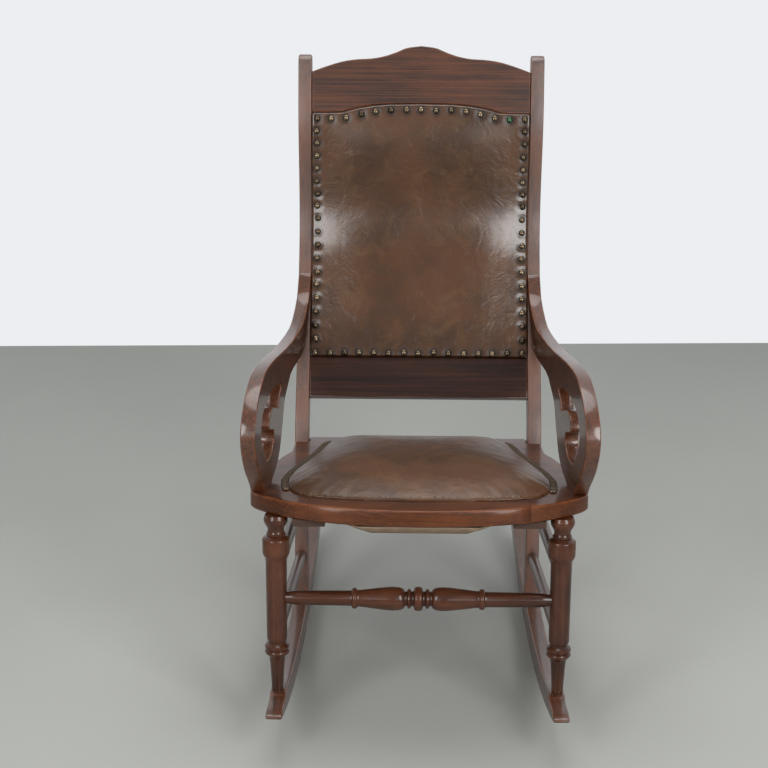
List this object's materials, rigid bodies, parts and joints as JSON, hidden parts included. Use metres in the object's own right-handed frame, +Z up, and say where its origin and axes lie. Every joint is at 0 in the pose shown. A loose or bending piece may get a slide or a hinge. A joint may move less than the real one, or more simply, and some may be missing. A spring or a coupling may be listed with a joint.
{
  "type": "upholstered rocking armchair",
  "caption": "Antique rocking armchair on curved runners, with turned front legs, pierced scroll arms, a leather seat pad and a tall nailed leather back.",
  "frame": {"origin": "middle of the chair's space on the floor, on the floor", "axes": "+X to the sitter's left, +Y to the back of the chair, +Z up; the sitter faces -Y"},
  "size_m": [0.5696, 0.8284, 1.0301],
  "materials": {
    "mahogany": "glossy varnish over red-brown mahogany",
    "pine": "bare sawn pine",
    "beech": "bare planed beech",
    "leather": "polished brown hide, creased with age",
    "braid": "dark woven chevron braid",
    "webbing": "woven jute webbing",
    "cloth": "plain beige cotton and jute cloth",
    "hair": "packed curled hair",
    "steel": "dull plain steel"
  },
  "bodies": {
    "root": {"left_runner": "mahogany", "left_front_leg": "mahogany", "left_back_post": "mahogany", "left_lower_side_stretcher": "mahogany", "left_upper_side_stretcher": "mahogany", "left_seat_side_board": "mahogany", "left_front_joint_peg": "beech", "left_rear_joint_peg": "beech", "left_glue_block": "pine", "left_arm": "mahogany", "left_arm_foot_peg": "beech", "left_arm_screw": "steel", "left_back_lath": "beech", "left_seat_braid": "braid", "right_runner": "mahogany", "right_front_leg": "mahogany", "right_back_post": "mahogany", "right_lower_side_stretcher": "mahogany", "right_upper_side_stretcher": "mahogany", "right_seat_side_board": "mahogany", "right_front_joint_peg": "beech", "right_rear_joint_peg": "beech", "right_glue_block": "pine", "right_arm": "mahogany", "right_arm_foot_peg": "beech", "right_arm_screw": "steel", "right_back_lath": "beech", "right_seat_braid": "braid", "front_stretcher": "mahogany", "seat_front_board": "mahogany", "seat_back_board": "mahogany", "crest_rail": "mahogany", "lower_back_rail": "mahogany", "back_leather": "leather", "back_stuffing": "hair", "back_lining": "cloth", "seat_leather": "leather", "seat_stuffing": "hair", "seat_hessian": "cloth", "seat_bottom_cloth": "cloth", "back_webbing_first": "webbing", "seat_long_webbing_first": "webbing", "seat_cross_webbing_first": "webbing", "back_webbing_middle": "webbing", "seat_long_webbing_middle": "webbing", "seat_cross_webbing_middle": "webbing", "back_webbing_last": "webbing", "seat_long_webbing_last": "webbing", "seat_cross_webbing_last": "webbing"}
  },
  "joints": []
}
